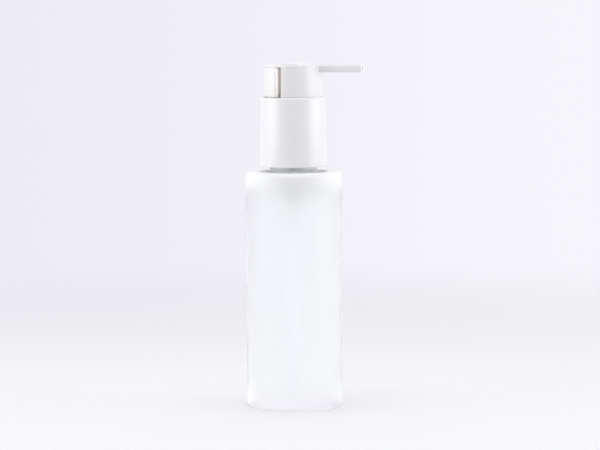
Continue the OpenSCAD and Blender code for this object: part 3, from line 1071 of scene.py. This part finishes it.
@dataclass
class PressHead(Assembly):
    """Press head with its skirt, finger band, flat spout and nozzle."""

    top: float = 157.5
    under: float = 156.3
    radius: float = 13.2
    edge: float = 1.1
    band_width: float = 10.3
    band_rise: float = 0.42
    skirt_foot: float = 139.5
    skirt_bore: float = 11.7
    skirt_arc: float = 204.0
    boss: float = 6.2
    boss_foot: float = 152.6
    spigot: float = 4.8
    spigot_top: float = 154.2
    spout_width: float = 7.5
    spout_depth: float = 3.65
    spout_round: float = 1.25
    spout_reach: float = 32.4
    gusset: float = 1.6
    passage: float = 1.5
    channel: float = 1.1
    nozzle: float = 1.3
    nozzle_bore: float = 0.8
    nozzle_length: float = 4.0

    def build(self) -> None:
        """Builds and dresses the head and its nozzle."""
        self.place(self._shell(), "head_pressed", "head",
                   "white_plastic", "head_shell", smooth=34)
        self.place(self._nozzle(), "nozzle_tip", "head",
                   "inner_plastic", "spout_nozzle")

    def _along_spout(self, radius: float, start: float,
                     length: float) -> Solid:
        """Returns a round bar along the spout's channel.

        Args:
            radius: The bar's radius.
            start: Where it starts along X.
            length: Its length.

        Returns:
            The bar.
        """
        bar = Solid.turned(rectangle((0, radius), (0, length)), steps=40)
        return bar.rotated(90, "Y").moved(
            x=start, z=self.top - self.spout_depth / 2)

    def _band(self) -> Solid:
        """Returns the raised band across the disc."""
        half = self.band_width / 2
        high = self.top + self.band_rise
        band = Solid.prism(corners(
            (-half, self.top - 0.8), (half, self.top - 0.8),
            (half, high, 0.3, 4), (-half, high, 0.3, 4)),
            2 * self.radius).rotated(90, "X").moved(y=self.radius)
        limit = Solid.turned(corners(
            (0, self.top - 1.2), (self.radius - 0.6, self.top - 1.2),
            (self.radius - 0.6, high, 0.3, 4), (0, high)), steps=128)
        return band.blended(Blend.COMMON, limit)

    def _spout(self) -> Solid:
        """Returns the flat spout, rounded above."""
        half = self.spout_width / 2
        low = self.top - self.spout_depth
        return Solid.prism(corners(
            (low, -half, 0.12, 2), (self.top, -half, self.spout_round, 6),
            (self.top, half, self.spout_round, 6), (low, half, 0.12, 2)),
            self.spout_reach).rotated(90, "Y").rotated(180, "X")

    def _gusset(self, side: int) -> Solid:
        """Returns the fillet on one side of the spout's root.

        Args:
            side: -1 or 1 along Y.

        Returns:
            The fillet.
        """
        bend = self.gusset
        foot = self.top - self.spout_depth + 0.2
        middle = self.spout_width / 2 + bend
        start = math.sqrt((self.radius + bend) ** 2 - middle ** 2)
        block = Solid.prism(
            rectangle((self.radius - 2.5, start), (0, side * middle)),
            self.under + 0.3 - foot).moved(z=foot)
        bite = Solid.turned(
            rectangle((0, bend), (foot - 1, self.top)), steps=48
        ).moved(x=start, y=side * middle)
        return block.blended(Blend.CUT, bite)

    def _shell(self) -> Solid:
        """Returns the head in one solid, with its bores."""
        disc = Solid.turned(corners(
            (0, self.under), (self.radius, self.under, 0.06, 2),
            (self.radius, self.top, self.edge, 6), (0, self.top)),
            steps=160)
        skirt = Solid.turned(corners(
            (self.skirt_bore, self.skirt_foot + 0.25, 0.2, 3),
            (self.radius + 0.3, self.skirt_foot, 0.25, 3),
            (self.radius - 0.06, self.under + 0.5),
            (self.skirt_bore, self.under + 0.5)),
            sweep=self.skirt_arc, start=-self.skirt_arc / 2, steps=90)
        boss = Solid.turned(corners(
            (0, self.boss_foot), (self.boss, self.boss_foot, 0.3, 3),
            (self.boss, self.under + 0.5), (0, self.under + 0.5)), steps=80)
        disc.blended(Blend.UNION, skirt, boss, self._spout(),
                     self._gusset(-1), self._gusset(1), self._band())
        socket = Solid.turned(corners(
            (0, self.boss_foot - 1), (self.spigot, self.boss_foot - 1),
            (self.spigot, self.spigot_top), (self.passage, self.spigot_top),
            (self.passage, self.top - self.spout_depth / 2),
            (0, self.top - self.spout_depth / 2)), steps=64)
        seat = self._along_spout(
            self.nozzle + 0.02, self.spout_reach - self.nozzle_length,
            self.nozzle_length + 1)
        disc.blended(Blend.CUT, socket,
                     self._along_spout(self.channel, 0, self.spout_reach),
                     seat)
        return disc.eased(0.12, 40)

    def _nozzle(self) -> Solid:
        """Returns the small tube in the spout's end, with a rounded lip."""
        length = self.nozzle_length - 0.2
        tube = Solid.turned(corners(
            (self.nozzle_bore, 0, 0.1, 2), (self.nozzle, 0, 0.1, 2),
            (self.nozzle, length, 0.15, 3),
            (self.nozzle_bore, length, 0.2, 3)), steps=48)
        return tube.rotated(90, "Y").moved(
            x=self.spout_reach - self.nozzle_length + 0.05,
            z=self.top - self.spout_depth / 2)


@dataclass
class LockClip(Assembly):
    """Clip behind the head, with a fork that grips the head's boss."""

    radius: float = 13.3
    bore: float = 11.5
    foot: float = 142.65
    top: float = 156.25
    half_arc: float = 64.0
    ledge: float = 7.0
    ledge_step: float = 0.14
    notch_half_arc: float = 40.0
    notch: float = 0.9
    tongue_half_arc: float = 84.0
    tongue: float = 11.3
    tongue_bore: float = 10.5
    fork_foot: float = 154.65
    half_gap: float = 6.35
    half_width: float = 9.1
    reach: float = 2.6
    web_edge: float = 7.5

    def build(self) -> None:
        """Builds and dresses the clip."""
        self.place(self._clip(), "clip_forked", "clip", "clip_plastic",
                   "lock_clip", smooth=34)

    def _prong(self, side: int) -> Solid:
        """Returns one prong of the fork.

        Args:
            side: -1 or 1 along Y.

        Returns:
            The prong, with a rounded end.
        """
        width = self.half_width - self.half_gap
        low = side * self.half_gap
        high = side * self.half_width
        return Solid.prism(corners(
            (-self.web_edge - 0.5, low), (self.reach, low, width / 2.1, 6),
            (self.reach, high, width / 2.1, 6),
            (-self.web_edge - 0.5, high)),
            self.top - self.fork_foot).moved(z=self.fork_foot)

    def _band(self, side: int, span: tuple[float, float],
              radii: tuple[float, float], step: float) -> Solid:
        """Returns a band of the clip inside its wall.

        Args:
            side: -1 or 1 along Y.
            span: Angles from the back where it starts and ends, in degrees.
            radii: Its inner and outer radius.
            step: How far it stays from the wall's foot and top.

        Returns:
            The band.
        """
        return Solid.turned(
            rectangle(radii, (self.foot + step, self.top - step)),
            sweep=span[1] - span[0], steps=24,
            start=180 + span[0] if side < 0 else 180 - span[1])

    def _clip(self) -> Solid:
        """Returns the curved wall, its tongues and its fork in one solid."""
        wall = Solid.turned(corners(
            (self.bore, self.foot, 0.2, 3),
            (self.radius, self.foot, 0.3, 4),
            (self.radius, self.top, 0.04, 2), (self.bore, self.top)),
            sweep=2 * self.half_arc, start=180 - self.half_arc, steps=72)
        nail = Solid.turned(
            rectangle((self.bore - 1, self.radius + 1),
                      (self.foot - 1, self.foot + self.notch)),
            sweep=2 * self.notch_half_arc, start=180 - self.notch_half_arc,
            steps=48)
        wall.blended(Blend.CUT, nail)
        edge = self.half_arc
        bands = [
            band for side in (-1, 1) for band in (
                self._band(side, (edge - 2, self.tongue_half_arc),
                           (self.tongue_bore, self.tongue), 0.1),
                self._band(side, (edge - 2.8, edge + self.ledge),
                           (self.tongue - 0.1,
                            self.radius - self.ledge_step), 0.17),
                self._band(side, (edge - 5, edge - 1),
                           (self.tongue_bore + 0.3, self.bore + 0.3), 0.25))
        ]
        web = Solid.turned(
            rectangle((0, self.radius - 0.3), (self.fork_foot, self.top)),
            steps=128)
        half = self.radius
        behind = Solid.prism(
            rectangle((-2 * half, -self.web_edge), (-half, half)),
            4).moved(z=self.fork_foot - 1)
        web.blended(Blend.COMMON, behind)
        wall.blended(Blend.UNION, web, self._prong(-1), self._prong(1),
                     *bands)
        gap = Solid.turned(
            rectangle((0, self.half_gap),
                      (self.fork_foot - 1, self.top + 1)), steps=96)
        return wall.blended(Blend.CUT, gap).eased(0.1, 40)


# --------------------------------------------------------------- studio


@dataclass(frozen=True)
class SoftBox:
    """A rectangular lamp that faces the bottle, in metres and watts.

    Its azimuth is its direction from the bottle in degrees, counted from
    -Y towards +X.
    """

    name: str
    azimuth: float
    away: float
    height: float
    width: float
    tall: float
    power: float
    aim: float = 0.08

    def hang(self) -> None:
        """Builds the lamp and turns it to the bottle."""
        light = bpy.data.lights.new(self.name, "AREA")
        light.shape = "RECTANGLE"
        light.size, light.size_y = self.width, self.tall
        light.energy = self.power
        lamp = bpy.data.objects.new(self.name, light)
        turn = math.radians(self.azimuth)
        lamp.location = (math.sin(turn) * self.away,
                         -math.cos(turn) * self.away, self.height)
        way = Vector((0, 0, self.aim)) - lamp.location
        lamp.rotation_euler = way.to_track_quat("-Z", "Y").to_euler()
        bpy.context.scene.collection.objects.link(lamp)


@dataclass
class Studio:
    """Pale table, pale surroundings, three soft boxes and the camera.

    What the camera sees of the table and the surroundings is painted; what
    lights the bottle is weaker in front and stronger behind.
    """

    azimuth: float = 12.1
    elevation: float = 4.88
    distance: float = 1.254
    aim: float = 0.0837
    lean: float = 0.38
    aside: float = 0.00283
    focal: float = 163.74
    lamps: tuple[SoftBox, ...] = (
        SoftBox("box_right", 92.0, 1.1, 0.25, 0.9, 0.6, 5.75),
        SoftBox("box_left", -64.0, 1.1, 0.25, 0.9, 0.6, 5.75),
        SoftBox("box_over", 12.0, 0.3, 1.3, 1.2, 0.8, 8.15),
    )
    fill: float = 0.16
    behind: float = 0.85
    table_radius: float = 3.0
    table_glow: float = 0.15
    glow_grows: tuple[float, float] = (0.2, 0.7)
    glass_glow: float = 0.3
    half_view: float = 0.11
    left: Colour = (0.847, 0.839, 0.905)
    right: Colour = (0.922, 0.913, 0.965)
    near_left: Colour = (0.922, 0.917, 0.972)
    near_right: Colour = (0.942, 0.942, 0.982)

    def build(self) -> None:
        """Builds the table, the light and the camera."""
        self._table()
        self._world()
        for lamp in self.lamps:
            lamp.hang()
        self._camera()

    @staticmethod
    def _seen(graph: Graph) -> tuple[Socket, Socket]:
        """Returns 1 for what is seen or mirrored, and 1 for through glass."""
        path = graph.node("ShaderNodeLightPath")
        rays = [Socket(graph, path.outputs[name]) for name in (
            "Is Camera Ray", "Is Glossy Ray", "Is Transmission Ray")]
        return rays[0].larger(rays[1]), rays[2]

    def _across(self, x: Socket, y: Socket) -> tuple[Socket, Socket]:
        """Turns a place on the table towards the view.

        Args:
            x: Place along X.
            y: Place along Y.

        Returns:
            The place across the view, and away from it.
        """
        turn = math.radians(self.azimuth)
        across = x * math.cos(turn) + y * math.sin(turn)
        return across, y * math.cos(turn) - x * math.sin(turn)

    def _table(self) -> None:
        """Builds the table: it fades into the surroundings far away."""
        mesh = bmesh.new()
        bmesh.ops.create_circle(mesh, cap_ends=True, segments=96,
                                radius=self.table_radius)
        data = bpy.data.meshes.new("table")
        mesh.to_mesh(data)
        mesh.free()
        table = bpy.data.objects.new("table", data)
        bpy.context.scene.collection.objects.link(table)
        graph = Graph.of_material("table_paper")
        x, y, _ = graph.axes()
        across, away = self._across(x, y)
        side = (across / (away + self.distance)).step(
            -self.half_view, self.half_view)
        far = graph.mixed(side, self.left, self.right)
        near = graph.mixed(side, self.near_left, self.near_right)
        colour = graph.mixed(away.step(-0.02, 0.5), near, far)
        seen, through = self._seen(graph)
        colour = graph.mixed(through * self.glass_glow, colour,
                             (1.0, 1.0, 1.0))
        grain = graph.noise(graph.place(), 900.0, 2.0)
        paper = graph.surface(
            Base_Color=graph.mixed(grain, (0.9, 0.9, 0.92),
                                   (0.92, 0.92, 0.94)),
            Roughness=0.9, Specular_IOR_Level=0.1)
        glow = Socket(graph, graph.node(
            "ShaderNodeEmission", None, {"Color": colour}).outputs[0])
        fade = graph.radius().step(*self.glow_grows)
        share = (seen * (self.table_glow + fade * (1 - self.table_glow))
                 ).larger(through)
        data.materials.append(graph.finish(
            graph.shaders(share, paper, glow)))

    def _world(self) -> None:
        """Builds the surroundings: pale to look at, softer as a light."""
        world = bpy.data.worlds.new("surroundings")
        world.use_nodes = True
        bpy.context.scene.world = world
        graph = Graph(world.node_tree)
        where = graph.node("ShaderNodeTexCoord")
        split = graph.node("ShaderNodeSeparateXYZ", None, {
            0: Socket(graph, where.outputs["Generated"])})
        x, y = (Socket(graph, split.outputs[i]) for i in (0, 1))
        across, away = self._across(x, y)
        pale = graph.mixed(across.step(-self.half_view, self.half_view),
                           self.left, self.right)
        light = graph.mixed(
            away.step(-0.3, 0.5),
            (self.fill, self.fill * 0.98, self.fill * 1.03),
            (self.behind, self.behind * 0.99, self.behind * 1.03))
        seen, through = self._seen(graph)
        colour = graph.mixed(seen.larger(through), light, pale)
        graph.node("ShaderNodeOutputWorld", None, {
            "Surface": Socket(graph, graph.node(
                "ShaderNodeBackground", None,
                {"Color": colour}).outputs[0])})

    def _camera(self) -> None:
        """Sets the camera a little above the bottle's middle."""
        data = bpy.data.cameras.new("camera")
        data.sensor_fit = "HORIZONTAL"
        data.sensor_width = 36.0
        data.lens = self.focal
        data.clip_end = 50.0
        camera = bpy.data.objects.new("camera", data)
        turn, rise = map(math.radians, (self.azimuth, self.elevation))
        back = Vector((math.sin(turn) * math.cos(rise),
                       -math.cos(turn) * math.cos(rise), math.sin(rise)))
        right = Vector((math.cos(turn), math.sin(turn), 0))
        aim = Vector((0, 0, self.aim)) + right * self.aside
        place = aim + back * self.distance
        look = (aim - place).to_track_quat("-Z", "Y").to_matrix().to_4x4()
        roll = Matrix.Rotation(-math.radians(self.lean), 4, "Z")
        camera.matrix_world = Matrix.Translation(place) @ look @ roll
        bpy.context.scene.collection.objects.link(camera)
        bpy.context.scene.camera = camera


# ----------------------------------------------------------------- main


def main() -> None:
    """Builds every sub-assembly in order, then the studio."""
    logging.basicConfig(level=logging.INFO, format="%(message)s")
    finishes = all_finishes()
    for kind in (Bottle, Cap, PumpEngine, PressHead, LockClip):
        LOG.info("building %s", kind.__name__)
        kind(finishes).build()
    Studio().build()
    bpy.context.scene.view_settings.view_transform = "Standard"


if __name__ == "__main__":
    main()
